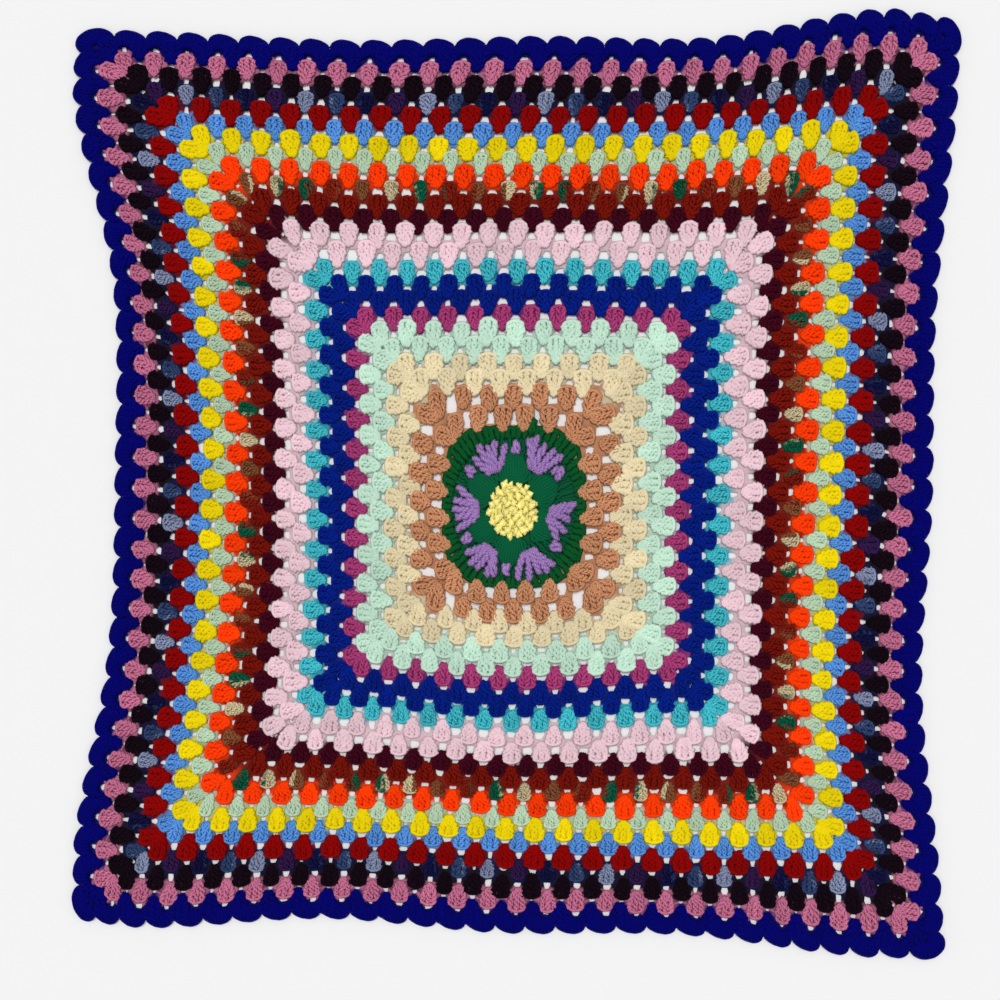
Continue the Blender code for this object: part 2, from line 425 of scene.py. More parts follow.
@dataclass(frozen=True)
class Lie:
    """How the flat square is pulled as it lies: millimetres by which its stations moved.

    A row of a table is a station counted in pitches up from the middle of the blanket, and a
    column one counted to the right. Both tables are a least-squares fit to where clusters of
    the real blanket lie, rounded to whole millimetres, and the solid is laid out by the same
    ones. middle is the drawing's centre, which lies at the origin.
    """

    stations: tuple = (-15.0, -12.0, -6.0, 0.0, 6.0, 12.0, 15.0)
    right: tuple = (
        (-5, -16, -17, -19, -14, -17, -14),
        (-3, -5, -10, -14, -14, -20, -20),
        (29, 19, 5, -6, -14, -32, -37),
        (36, 30, 9, -6, -13, -24, -27),
        (34, 22, 10, -3, -10, -16, -23),
        (-4, 5, 7, 9, 6, -4, -3),
        (-1, 6, 13, 24, 16, 8, 1),
    )
    up: tuple = (
        (8, -1, 8, -6, -8, -29, -31),
        (9, 2, 2, -7, -12, -18, -30),
        (11, 3, -7, -21, -13, -19, -25),
        (15, 8, -7, -23, -10, -9, -19),
        (25, 14, -3, -2, -4, 5, -4),
        (23, 14, 5, 3, 6, 22, 20),
        (16, 13, 5, 9, 8, 36, 24),
    )
    middle: tuple = (-0.00232, 0.00068)

    def weights(self, at: np.ndarray) -> np.ndarray:
        """How much each station counts in a smooth curve through all of them.

        Args:
            at: places, in pitches.

        Returns:
            A row of weights for each place.
        """
        stations = np.array(self.stations)
        last = len(stations) - 1
        slopes = np.zeros((last + 1, last + 1))
        for i in range(last + 1):
            before, after = max(i - 1, 0), min(i + 1, last)
            slopes[i, after] = 1 / (stations[after] - stations[before])
            slopes[i, before] = -slopes[i, after]
        k = np.clip(np.searchsorted(stations, at) - 1, 0, last - 1)
        span = stations[k + 1] - stations[k]
        t = (at - stations[k]) / span
        rise = t * t * (3 - 2 * t)
        found = np.zeros((len(at), last + 1))
        rows = np.arange(len(at))
        found[rows, k] += 1 - rise
        found[rows, k + 1] += rise
        found += (span * t * (1 - t) ** 2)[:, None] * slopes[k]
        found += (span * t * t * (t - 1))[:, None] * slopes[k + 1]
        return found

    def place(self, flat: np.ndarray) -> np.ndarray:
        """Lays out flat places.

        Args:
            flat: the places, in pitches.

        Returns:
            Where they lie, in metres.
        """
        across = self.weights(flat[:, 0])
        upward = self.weights(flat[:, 1])
        moved = [
            np.einsum("ni,ij,nj->n", upward, np.array(table, float), across) / MILLIMETRES
            for table in (self.right, self.up)
        ]
        return flat * PITCH + np.stack(moved, axis=1) - np.array(self.middle)


def ring_at(n: float) -> float:
    """Returns the distance of round n from the middle, in pitches."""
    return n * ROW - RING_INSET


@dataclass(frozen=True)
class Rings:
    """Where the rounds run: squares, and rounder and tighter ones next to the flower.

    slack is how far, in pitches, a loosely worked round stands outside its square, and slip how
    far its clusters are pulled along it, anticlockwise.
    """

    tightness: tuple = ((6, 0.135), (7, 0.07), (8, 0.01))
    roundness: tuple = ((6, 0.16), (7, 0.10), (8, 0.005))
    slack: tuple = (
        (6, 0.01), (7, 0.08), (8, 0.03), (11, 0.02), (16, 0.06), (17, 0.18), (18, 0.16),
        (19, 0.13), (20, 0.13), (21, 0.12), (22, 0.08), (23, 0.03), (27, 0.03), (29, -0.02))
    slip: tuple = ((17, 0.09), (18, 0.08), (19, 0.06), (20, 0.06), (21, 0.04), (22, 0.03))

    def place(self, n: int, side: Side, along: float, out: float = 0.0) -> np.ndarray:
        """Finds a place on a round.

        Args:
            n: the round.
            side: the side of the square.
            along: distance from the middle of that side, in clusters.
            out: distance outside the round.

        Returns:
            The flat place, in pitches.
        """
        ring = ring_at(n)
        rounded = ring * (1 - dict(self.roundness).get(n, 0.0) * (along / ring) ** 4)
        tight = along * (1 - dict(self.tightness).get(n, 0.0)) - dict(self.slip).get(n, 0.0)
        return side.turned(np.array([tight, rounded + dict(self.slack).get(n, 0.0) + out]))


# ------------------------------------------------------------------ patterns of strands
@dataclass
class Pattern:
    """A small mesh of strands, in pitches, ready to be repeated."""

    points: np.ndarray
    faces: np.ndarray
    places: np.ndarray
    posts: np.ndarray

    @property
    def painted_depth_shade(self) -> np.ndarray:
        """How deep each point lies under the pattern's top, from 0 to 1: the depth by which shade is
        painted between the strands.
        """
        height = self.points[:, 2]
        return np.clip((height.max() - height) / (height.max() - height.min()), 0, 1)


class Strands:
    """Strands of yarn, laid into one bmesh along paths in pitches."""

    sides = 4
    loose_at = (0.0, 0.3, 0.85, 1.0)
    looseness = (0.4, 1.0, 1.0, 0.75)

    def __init__(self) -> None:
        """Starts an empty pattern."""
        self.bm = bmesh.new()
        self.along = self.bm.verts.layers.float.new("along")
        self.around = self.bm.verts.layers.float.new("around")
        self.post = self.bm.verts.layers.float.new("post")

    def lay(self, path: np.ndarray, radius: float, post: float = 0.5, closed: bool = False) -> None:
        """Lays one strand.

        Args:
            path: its points, in pitches.
            radius: of the yarn, in pitches.
            post: where it stands in its cluster, from 0 to 1, for the yarn's dye.
            closed: whether its ends meet.
        """
        frames = self._frames(path, closed)
        made = bmesh.ops.create_circle(
            self.bm, cap_ends=not closed, radius=radius, segments=self.sides)
        ring = made["verts"]
        edges = list({edge for vert in ring for edge in vert.link_edges})
        bmesh.ops.transform(self.bm, matrix=frames[0], verts=ring)
        first = ring
        done = 0.0
        self._note(ring, done, post)
        for i in range(1, len(frames)):
            out = bmesh.ops.extrude_edge_only(self.bm, edges=edges)["geom"]
            ring = [item for item in out if isinstance(item, bmesh.types.BMVert)]
            edges = [item for item in out if isinstance(item, bmesh.types.BMEdge)]
            step = frames[i] @ frames[i - 1].inverted()
            bmesh.ops.transform(self.bm, matrix=step, verts=ring)
            done += (frames[i].translation - frames[i - 1].translation).length * PITCH
            for vert in ring:
                vert[self.along] = done
        if closed:
            pairs = {vert: min(first, key=lambda v: (v.co - vert.co).length) for vert in ring}
            bmesh.ops.weld_verts(self.bm, targetmap=pairs)
        else:
            bmesh.ops.contextual_create(self.bm, geom=edges)

    def _frames(self, path: np.ndarray, closed: bool) -> list:
        """Finds how a flat ring is carried along a path.

        Args:
            path: the strand's points.
            closed: whether its ends meet.

        Returns:
            The matrix for each point, and for the first one again on a closed path.
        """
        points = [Vector(p) for p in path]
        if closed:
            points.append(points[0])
        frames = []
        for i, point in enumerate(points):
            before = points[i - 1] if i else (points[-2] if closed else point)
            after = points[i + 1] if i < len(points) - 1 else (points[1] if closed else point)
            ahead = (after - before).normalized()
            across = ahead.cross(Vector((0, 0, 1)))
            across = across.normalized() if across.length > UPRIGHT else Vector((1, 0, 0))
            up = across.cross(ahead)
            turn = Matrix((across, up, ahead)).transposed().to_4x4()
            frames.append(Matrix.Translation(point) @ turn)
        return frames

    def _note(self, ring: list, along: float, post: float) -> None:
        """Writes how far along and around the strand each point of a ring is.

        Args:
            ring: its points.
            along: how far along the strand they are, in metres.
            post: where the strand stands in its cluster.
        """
        for i, vert in enumerate(ring):
            vert[self.along] = along
            vert[self.around] = i / self.sides
            vert[self.post] = post

    def post_pair(
        self, path: np.ndarray, radius: float, wind: tuple, turns: float, start: float,
        post: float = 0.5
    ) -> None:
        """Lays a post of two strands that wind round each other, tighter at its ends.

        Args:
            path: the post's middle line, in pitches.
            radius: of the yarn.
            wind: distance of each strand from the middle line, sideways and upwards.
            turns: how often they wind round it.
            start: where the first one starts, in radians.
            post: where the post stands in its cluster, from 0 to 1.
        """
        ahead = np.gradient(path, axis=0)
        across = np.stack([ahead[:, 1], -ahead[:, 0], np.zeros(len(path))], axis=1)
        across /= np.linalg.norm(across, axis=1)[:, None]
        done = np.linspace(0, 1, len(path))
        angle = start + math.tau * turns * done
        loose = np.interp(done, self.loose_at, self.looseness)
        for half in (0.0, math.pi):
            lean = across * (wind[0] * loose * np.cos(angle + half))[:, None]
            lift = np.zeros_like(path)
            lift[:, 2] = wind[1] * loose * np.sin(angle + half)
            self.lay(path + lean + lift, radius, post)

    def pattern(self) -> Pattern:
        """Turns the strands into arrays, and frees the bmesh.

        Returns:
            The pattern.
        """
        bm = self.bm
        bm.verts.index_update()
        points = np.array([vert.co for vert in bm.verts])
        faces = np.array([[vert.index for vert in face.verts] for face in bm.faces])
        along = np.array([vert[self.along] for vert in bm.verts])
        around = np.array([vert[self.around] for vert in bm.verts])
        posts = np.array([vert[self.post] for vert in bm.verts])
        turn = around[faces]
        wraps = (turn.max(axis=1) - turn.min(axis=1) > 0.5)[:, None] & (turn < 0.5)
        places = np.stack([along[faces], turn + wraps], axis=2)
        bm.free()
        return Pattern(points, faces, places, posts)


def curve_through(points: tuple, steps: int) -> np.ndarray:
    """A smooth path through a few points.

    Args:
        points: what it passes, in pitches.
        steps: how many pieces the path has in all.

    Returns:
        The path's points, evenly spread over the given ones.
    """
    given = np.array(points, float)
    at = np.linspace(0, len(given) - 1, steps + 1)
    k = np.minimum(at.astype(int), len(given) - 2)
    t = (at - k)[:, None]
    slope = np.gradient(given, axis=0)
    rise = t * t * (3 - 2 * t)
    pull = t * (1 - t) ** 2 * slope[k] + t * t * (t - 1) * slope[k + 1]
    return given[k] + (given[k + 1] - given[k]) * rise + pull


@dataclass
class Placing:
    """Where one copy of a pattern stands in the flat drawing."""

    x: float
    y: float
    angle: float = 0.0
    wide: float = 1.0
    tall: float = 1.0
    lift: float = 0.0
    # brightness of the copy: random tone of clusters and bobbles, and painted shade under the
    # flower's fans and bobbles
    shade: float = 1.0
    dye: float = 0.0
    dye_span: float = 0.0


class Cloth:
    """Copies of patterns that are joined into one piece and laid out."""

    thickening = 0.5

    def __init__(self, lie: Lie) -> None:
        """Starts an empty piece.

        Args:
            lie: how it lies.
        """
        self.lie = lie
        self.parts = []
        self.count = 0

    def add(self, pattern: Pattern, at: Placing) -> None:
        """Adds one copy of a pattern.

        Args:
            pattern: the strands.
            at: where they stand.
        """
        flat = pattern.points[:, :2] * (at.wide, at.tall)
        flat = flat @ turning(at.angle).T + (at.x, at.y)
        thick = 1 - self.thickening + self.thickening * at.wide
        height = (pattern.points[:, 2] * thick + at.lift) * PITCH
        dye = (at.dye + at.dye_span * pattern.posts) % 1.0
        shade = np.full(len(flat), at.shade)
        self.parts.append((
            flat, height, pattern.faces + self.count, pattern.places, pattern.painted_depth_shade, shade, dye))
        self.count += len(flat)

    def piece(self, name: str, material: bpy.types.Material) -> bpy.types.Object:
        """Builds the mesh of all the copies.

        Args:
            name: the piece's name.
            material: its finish.

        Returns:
            The piece, in the scene.
        """
        flat, height, faces, places, painted_depth_shade, shade, dye = (
            np.concatenate(column) for column in zip(*self.parts))
        points = np.column_stack([self.lie.place(flat), height])
        mesh = bpy.data.meshes.new(name)
        mesh.vertices.add(len(points))
        mesh.vertices.foreach_set("co", points.ravel())
        mesh.loops.add(faces.size)
        mesh.loops.foreach_set("vertex_index", faces.ravel())
        mesh.polygons.add(len(faces))
        mesh.polygons.foreach_set("loop_start", np.arange(0, faces.size, faces.shape[1]))
        mesh.update(calc_edges=True)
        mesh.validate()
        mesh.uv_layers.new(name="strand").uv.foreach_set("vector", places.ravel())
        for title, values in (("painted_depth_shade", painted_depth_shade), ("shade", shade), ("dye", dye)):
            mesh.attributes.new(title, "FLOAT", "POINT").data.foreach_set("value", values)
        mesh.shade_smooth()
        mesh.materials.append(material)
        made = put(name, mesh)
        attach(made, "root")
        LOG.info("%s: %d faces", name, len(faces))
        return made


# ------------------------------------------------------------------ clusters
@dataclass
class ClusterPattern:
    """One cluster: three posts that bulge out of one foot, under a chain of loops."""

    fluff: float = 0.0
    # yarn, and how its strands wind, thin and full
    thin_yarn: float = 0.062
    full_yarn: float = 0.075
    wound: tuple = (0.074, 0.036)
    settled: tuple = (0.076, 0.027)
    turns: float = 2.3
    reversed_share: float = 0.35
    steps: int = 8
    jitter: float = 0.012
    turns_variation: tuple = (0.8, 1.2)
    # the posts, from foot to head and from the middle to the sides
    foot: float = -0.41
    waist: float = -0.20
    belly: float = 0.06
    head: float = 0.275
    spread: float = 0.200
    foot_spread: float = 0.16
    waist_spread: float = 0.62
    head_spread: float = 0.84
    outer_foot_up: float = 0.02
    outer_head_down: float = 0.05
    height: float = 0.130
    foot_height: float = 0.094
    outer_drop: float = 0.010
    belly_rise: float = 0.010
    head_rise: float = 0.002
    # the loops over the heads
    chain_steps: int = 7
    chain_yarn: float = 0.86
    chain_beyond: float = 0.050
    chain_up: float = 0.03
    chain_droop: float = 0.16
    chain_waves: float = 1.5
    chain_sway: float = 0.016
    chain_height: float = 0.024
    chain_ripple: float = 0.014
    chain_sink: float = 0.02

    @property
    def yarn(self) -> float:
        """Returns the radius of the yarn."""
        return self.thin_yarn + self.fluff * (self.full_yarn - self.thin_yarn)

    @property
    def wind(self) -> tuple:
        """Returns how far a strand winds from its post's middle, sideways and upwards."""
        return tuple(a + self.fluff * (b - a) for a, b in zip(self.wound, self.settled))

    def build(self, chance: np.random.Generator) -> Pattern:
        """Makes one of the slightly different clusters.

        Args:
            chance: where the differences come from.

        Returns:
            The cluster, with its foot down and its middle at the origin.
        """
        strands = Strands()
        for k in (-1, 0, 1):
            off = k * self.spread
            low = self.height - self.outer_drop * abs(k)
            foot = self.foot + self.outer_foot_up * abs(k)
            head = self.head - self.outer_head_down * abs(k)
            post = curve_through((
                (self.foot_spread * off, foot, self.foot_height),
                (self.waist_spread * off, self.waist, low),
                (off, self.belly, low + self.belly_rise),
                (self.head_spread * off, head, low + self.head_rise),
            ), self.steps)
            post[:, :2] += chance.normal(0, self.jitter, (len(post), 2))
            start = chance.uniform(0, math.tau)
            turns = self.turns * chance.uniform(*self.turns_variation)
            if chance.random() < self.reversed_share:
                turns = -turns
            strands.post_pair(post, self.yarn, self.wind, turns, start, 0.5 + k / 3)
        self._chain(strands)
        return strands.pattern()

    def _chain(self, strands: Strands) -> None:
        """Lays the loops that lie over the heads of the posts.

        Args:
            strands: the cluster that they belong to.
        """
        t = np.linspace(-1, 1, self.chain_steps + 1)
        wave = self.chain_waves * math.tau * t
        x = (self.spread + self.chain_beyond) * np.sin(t * math.pi / 2)
        y = self.head + self.chain_up - self.chain_droop * t ** 2 + self.chain_sway * np.cos(wave)
        z = self.height + self.chain_height + self.chain_ripple * np.sin(wave)
        z = z - self.chain_sink * t ** 2
        strands.lay(np.column_stack([x, y, z]), self.yarn * self.chain_yarn)


@dataclass
class Rounds:
    """The rounds of clusters, one piece for each stripe of yarn."""

    lie: Lie
    rings: Rings
    variants: int = 8
    unevenness: float = 0.05
    most_uneven: float = 0.1
    sway: float = 0.5
    twist: float = 1.2
    bounce: float = 0.1
    least_tall: float = 0.25
    most_full: float = 1.1
    corner_lean: float = math.radians(13)
    corner_width: float = 0.97
    corner_length: float = 1.05
    corner_in: float = 0.03
    first_corners: tuple = ((7, 1.10),)
    first_out: float = -0.06
    first_lift: float = 0.05
    chance: np.random.Generator = field(default_factory=lambda: np.random.default_rng(SEED))

    def build(self) -> list:
        """Builds every stripe and returns the pieces."""
        return [self._stripe(stripe) for stripe in STRIPES]

    def _stripe(self, stripe: Stripe) -> bpy.types.Object:
        """Builds the piece of one stripe.

        Args:
            stripe: its yarn and rounds.

        Returns:
            The piece.
        """
        cloth = Cloth(self.lie)
        for n in stripe.rounds:
            self.add_round(cloth, n, stripe)
        return cloth.piece("stripe_" + stripe.yarn.name, stripe.yarn.material())

    def add_round(self, cloth: Cloth, n: int, stripe: Stripe) -> None:
        """Adds the clusters of a round to a piece.

        Args:
            cloth: the piece.
            n: the round.
            stripe: the stripe that it is in.
        """
        cluster = ClusterPattern(stripe.yarn.fluff)
        patterns = [cluster.build(self.chance) for _ in range(self.variants)]
        places = [(side, j - (n - 1) / 2) for side in Side for j in range(n)]
        for worked, (side, along) in enumerate(places):
            at = self._cluster(n, side, along, stripe)
            at.dye = (stripe.yarn.start + worked) / stripe.yarn.repeat
            at.dye_span = 1 / stripe.yarn.repeat
            cloth.add(patterns[self.chance.integers(self.variants)], at)

    def _cluster(self, n: int, side: Side, along: float, stripe: Stripe) -> Placing:
        """Finds where one cluster stands.

        Args:
            n: its round.
            side: its side of the square.
            along: its place on that side, in pitches.
            stripe: the stripe it belongs to.

        Returns:
            Its placing, with the handwork's unevenness.
        """
        vary = self.chance.normal(0, self.unevenness, 6).clip(-self.most_uneven, self.most_uneven)
        out = stripe.out + (self.first_out if n == FIRST_ROUND else 0.0)
        wide = stripe.fullness
        tall = self.least_tall + (1 - self.least_tall) * min(stripe.fullness, self.most_full)
        lean = 0.0
        if abs(along) > (n - 2) / 2:
            lean = -math.copysign(self.corner_lean, along)
            wide *= self.corner_width
            tall *= self.corner_length * dict(self.first_corners).get(n, 1.0)
            out -= self.corner_in * dict(self.first_corners).get(n, 1.0)
        x, y = self.rings.place(n, side, along, out)
        return Placing(
            x=x + self.sway * vary[0],
            y=y + self.sway * vary[1],
            angle=math.radians(side.value) + lean + self.twist * vary[2],
            wide=wide * (1 + vary[3]),
            tall=tall * (1 + vary[4]),
            lift=self.bounce * vary[5] + (self.first_lift if n == FIRST_ROUND else 0.0),
            shade=1 + vary[5],
        )


# ------------------------------------------------------------------ edging
@dataclass(frozen=True)
class Shells:
    """The scalloped outline of the edging, in pitches: steep behind each notch."""

    notch: float = 14.68
    depth: float = 0.30
    lean: float = 0.18
    squareness: float = 2.2
    steepness: float = 0.26
    corner_at: float = 13.96
    corner_notch: float = 0.67
    corner_depth: float = 0.54

    def rise(self, s: float) -> float:
        """Returns the height of a shell from 0 to 1, at s from -1 to 1 across it."""
        return math.sqrt(1 - abs(s) ** self.squareness) * (1 - self.steepness * s)

    def top(self, side: Side, along: float, s: float, inset: float = 0.0) -> np.ndarray:
        """Finds a place on the rim of a side's shell.

        Args:
            side: the side of the square.
            along: the cluster that the shell stands over.
            s: from -1 to 1 across the shell.
            inset: distance inside the rim.

        Returns:
            The flat place.
        """
        out = self.notch + self.depth * self.rise(s) - inset
        return side.turned(np.array([along + self.lean + s / 2 * (1 - inset), out]))

    def corner(self, side: Side, s: float, inset: float = 0.0) -> np.ndarray:
        """Finds a place on the rim of the corner shell that follows a side.

        Args:
            side: the side of the square.
            s: from -1 to 1 across the shell.
            inset: distance inside the rim.

        Returns:
            The flat place.
        """
        turn = math.pi / 4 * (1 - s) - self.lean
        out = self.corner_notch + self.corner_depth * self.rise(s) - inset
        return side.turned(self.corner_at + out * np.array([math.cos(turn), math.sin(turn)]))


@dataclass
class Edging:
    """The last round of clusters and the shells that are worked over it."""

    lie: Lie
    rounds: Rounds
    shells: Shells
    foot: float = 14.28
    foot_spread: float = 0.40
    foot_arch: float = 0.15
    foot_gap: float = 0.24
    posts: int = 8
    span: float = 0.90
    rim_span: float = 0.99
    rim_steps: int = 15
    corner_foot: float = 14.30
    corner_foot_out: float = 0.25
    corner_posts: int = 11
    corner_span: float = 0.86
    corner_rim_span: float = 0.95
    corner_rim_steps: int = 19
    yarn: float = 0.062
    wind: tuple = (0.044, 0.030)
    turns: float = 1.25
    length_variation: tuple = (0.96, 1.02)
    height: float = 0.125
    post_rises: tuple = (-0.01, 0.012, 0.018, 0.012, -0.008)
    chain_ripple: float = 0.010

    def build(self) -> list:
        """Builds the two pieces of the edging.

        Returns:
            The pieces.
        """
        material = NAVY.material()
        band = Cloth(self.lie)
        self.rounds.add_round(band, EDGE_ROUND, EDGE_STRIPE)
        shells = Cloth(self.lie)
        for side in Side:
            for j in range(LAST_ROUND):
                along = j - (LAST_ROUND - 1) / 2
                shells.add(self._shell(side, along), Placing(0.0, 0.0))
            shells.add(self._corner(side), Placing(0.0, 0.0))
        return [
            band.piece("edging_band", material),
            shells.piece("edging_shells", material),
        ]

    def _shell(self, side: Side, along: float) -> Pattern:
        """Makes one shell of a side.

        Args:
            side: the side of the square.
            along: the cluster that it stands over.

        Returns:
            The shell, where it stands.
        """
        across = np.linspace(-self.span, self.span, self.posts)
        middle = along + self.shells.lean
        feet = [
            side.turned(self._foot(middle + self.foot_spread * s, along)) for s in across]
        tops = [self.shells.top(side, along, s, self.yarn) for s in across]
        rim = [
            self.shells.top(side, along, s, self.yarn)
            for s in np.linspace(-self.rim_span, self.rim_span, self.rim_steps)]
        return self._fan(feet, tops, rim)

    def _foot(self, at: float, along: float) -> np.ndarray:
        """Finds where a post of a shell starts, clear of the gap that the shell stands over.

        Args:
            at: its place along the side.
            along: the middle of the gap.

        Returns:
            The flat place, for the top side.
        """
        clear = max(0.0, 1 - ((at - along) / self.foot_gap) ** 2)
        return np.array([at, self.foot + self.foot_arch * clear])

    def _corner(self, side: Side) -> Pattern:
        """Makes the shell round a corner.

        Args:
            side: the side that the corner follows.

        Returns:
            The shell, where it stands.
        """
        across = np.linspace(-self.corner_span, self.corner_span, self.corner_posts)
        tops = [self.shells.corner(side, s, self.yarn) for s in across]
        middle = side.turned(np.array([self.corner_foot, self.corner_foot]))
        feet = [middle + self.corner_foot_out * (top - middle) for top in tops]
        rim = [
            self.shells.corner(side, s, self.yarn)
            for s in np.linspace(-self.corner_rim_span, self.corner_rim_span, self.corner_rim_steps)]
        return self._fan(feet, tops, rim)

    def _fan(self, feet: list, tops: list, rim: list) -> Pattern:
        """Makes a shell of posts, under a chain along its rim.

        Args:
            feet: where the posts start.
            tops: where they end.
            rim: the places that the chain passes.

        Returns:
            The shell, where it stands.
        """
        chance = self.rounds.chance
        strands = Strands()
        steps = np.linspace(0, 1, len(self.post_rises))[:, None]
        for foot, top in zip(feet, tops):
            flat = foot + steps * (top - foot) * chance.uniform(*self.length_variation)
            z = self.height + np.array(self.post_rises)
            start = chance.uniform(0, math.tau)
            strands.post_pair(
                np.column_stack([flat, z]), self.yarn, self.wind, self.turns, start)
        z = self.height + self.chain_ripple * np.sin(np.arange(len(rim)) * math.pi / 2)
        strands.lay(np.column_stack([np.array(rim), z]), self.yarn)
        return strands.pattern()


# ------------------------------------------------------------------ flower
@dataclass
class Flower:
    """The flower in the middle: bobbles, leaves, fans of lavender stitches and a green rim."""

    lie: Lie
    chance: np.random.Generator
    middle: tuple = (0.0, -0.04)
    # the ring of thick stitches round it
    rim_radius: float = 2.56
    rim_squareness: float = 3.6
    rim_inner: float = 2.24
    rim_posts: int = 76
    rim_yarn: float = 0.088
    rim_wind: tuple = (0.056, 0.014)
    rim_heights: tuple = (0.11, 0.125, 0.125, 0.12, 0.11)
    rim_jitter: tuple = (-0.15, 0.15)
    rim_variation: tuple = (0.99, 1.01)
    rim_turns: float = 1.25
    # the chain on the ring's edge
    edge_share: float = 0.985
    edge_wave: float = 0.008
    edge_height: float = 0.10
    edge_ripple: float = 0.01
    # the one stitch that stands out of the ring
    tip_turn: float = math.radians(75)
    tip_far: tuple = (2.40, 2.58, 2.74, 2.90)
    tip_heights: tuple = (0.16, 0.20, 0.20, 0.16)
    tip_yarn: float = 0.10
    tip_wind: tuple = (0.08, 0.04)
    tip_turns: float = 1.0
    tip_start: float = 0.8
    # the green round that the fans are worked over
    collar_posts: int = 50
    collar_yarn: float = 0.066
    collar_wind: tuple = (0.07, 0.02)
    collar_turns: float = 1.8
    collar_foot: float = 1.25
    collar_under: float = 0.06
    collar_height: float = 0.105
    collar_steps: int = 6
    # painted shade: the collar is darker where it lies under the fans
    collar_painted_shade: float = 0.94
    # leaves
    leaf_turns: tuple = (90, 150, 209, 266, 336, 30)
    leaf_foot: float = 0.84
    leaf_yarn: float = 0.085
    leaf_strands: int = 6
    leaf_half_width: float = 0.57
    leaf_length: float = 1.02
    leaf_rounding: float = 0.80
    leaf_shape: tuple = ((0.36, 0.0), (0.90, 0.33), (1.00, 0.68), (0.80, 1.0))
    leaf_ends_up: tuple = (0.13, 0.12)
    leaf_height: float = 0.20
    leaf_fall: float = 0.06
    leaf_steps: int = 8
    # leaves and fans alike
    unevenness: float = 0.04
    most_uneven: float = 0.08
    # fans: the turn and heading of each in degrees, and its foot
    fans: tuple = (
        (60, 58, 1.42), (120, 110, 1.36), (182, 184, 1.24), (238, 236, 1.46), (294, 290, 1.42),
        (-6, -18, 1.27))
    petals: int = 5
    petal_beside: float = 0.075
    petal_lean: float = 16.5
    petal_lean_spread: float = 3.0
    petal_length: float = 0.93
    petal_length_variation: tuple = (0.86, 1.10)
    petal_height: float = 0.17
    petal_rise: float = 0.10
    petal_arch: tuple = (0.1, 0.8)
    petal_bounce: tuple = (-0.02, 0.02)
    petal_bend: float = 0.04
    petal_yarn: float = 0.092
    petal_wind: tuple = (0.080, 0.052)
    petal_turns: tuple = (1.6, 2.8)
    petal_steps: int = 8
    # stitches over the leaves' tips
    stitch_turns: tuple = (87, 143, 210, 263, 321, 36)
    stitch_foot: float = 1.79
    stitch_beside: float = 0.10
    stitch_lean: float = 24.0
    stitch_length: float = 0.38
    stitch_thick: float = 0.85
    # bobbles: the radius and number of each ring
    bobble_rings: tuple = ((0.06, 3), (0.25, 7), (0.46, 11), (0.66, 15), (0.83, 19))
    bobble_yarn: float = 0.078
    bobble_loops: tuple = (
        ((0.2, 0.085, 0.0), (1.6, 0.085, 0.0)),
        ((0.1, 0.105, 0.02), (1.0, 0.070, -0.03)),
        ((0.4, 0.070, -0.03), (2.5, 0.100, 0.02)),
    )
    bobble_arch: tuple = (0.05, 0.95)
    bobble_steps: int = 7
    bobble_height: float = 0.09
    bobble_crossing: float = 0.012
    bobble_twist: float = 2.3
    bobble_unevenness: float = 0.12
    bobble_most_uneven: float = 0.2
    bobble_shift: float = 0.25
    bobble_stretch: float = 1.5
    bobble_lift: float = 0.13
    bobble_dome: float = 0.08
    bobble_bounce: float = 0.3
    bobble_shading: float = 0.5
    # the spiral that the bobbles stand on
    bed_turns: int = 6
    bed_start: float = 0.5
    bed_steps: int = 24
    bed_yarn: float = 0.08
    bed_height: float = 0.15
    # painted shade: the spiral is darker where it lies under the bobbles
    bed_painted_shade: float = 0.86

    def build(self) -> list:
        """Builds the flower's pieces.

        Returns:
            The pieces.
        """
        return [
            self._rim(),
            self._leaves(),
            self._fans(),
            self._bobbles(),
        ]

    def rim_at(self, turn: float) -> float:
        """Returns how far the rounded square of the rim is from the middle at a turn."""
        p = self.rim_squareness
        return self.rim_radius * (abs(math.cos(turn)) ** p + abs(math.sin(turn)) ** p) ** (-1 / p)

    def _radial(self, turn: float, far: np.ndarray, z: np.ndarray) -> np.ndarray:
        """Draws a path straight out from the middle.

        Args:
            turn: its direction.
            far: how far from the middle its points are.
            z: how high they are.

        Returns:
            The path.
        """
        return np.column_stack([far * math.cos(turn), far * math.sin(turn), z])

    def _round(self, turns: np.ndarray, far: np.ndarray, z: np.ndarray) -> np.ndarray:
        """Draws a path round the middle.

        Args:
            turns: the directions of its points.
            far: how far from the middle they are.
            z: how high they are.

        Returns:
            The path.
        """
        return np.column_stack([far * np.cos(turns), far * np.sin(turns), z])

    def _rim(self) -> bpy.types.Object:
        """Builds the ring of thick green stitches round the flower, with a chain on its edge.

        Returns:
            The piece.
        """
        strands = Strands()
        for k in range(self.rim_posts):
            turn = math.tau * (k + self.chance.uniform(*self.rim_jitter)) / self.rim_posts
            outer = self.rim_at(turn) * self.chance.uniform(*self.rim_variation)
            z = np.array(self.rim_heights)
            path = self._radial(turn, np.linspace(self.rim_inner, outer, len(z)), z)
            start = self.chance.uniform(0, math.tau)
            turns = self.rim_turns * self.chance.choice((-1, 1))
            strands.post_pair(path, self.rim_yarn, self.rim_wind, turns, start)
        path = self._radial(self.tip_turn, np.array(self.tip_far), np.array(self.tip_heights))
        strands.post_pair(path, self.tip_yarn, self.tip_wind, self.tip_turns, self.tip_start)
        count = 2 * self.rim_posts
        turns = np.arange(count) * math.tau / count
        wave = turns * self.rim_posts / 2
        far = np.array([self.rim_at(turn) for turn in turns])
        far = far * (self.edge_share + self.edge_wave * np.cos(wave))
        z = self.edge_height + self.edge_ripple * np.sin(wave)
        strands.lay(self._round(turns, far, z), self.rim_yarn, closed=True)
        cloth = Cloth(self.lie)
        cloth.add(strands.pattern(), Placing(*self.middle))
        return cloth.piece("flower_rim", DARK_GREEN.material())

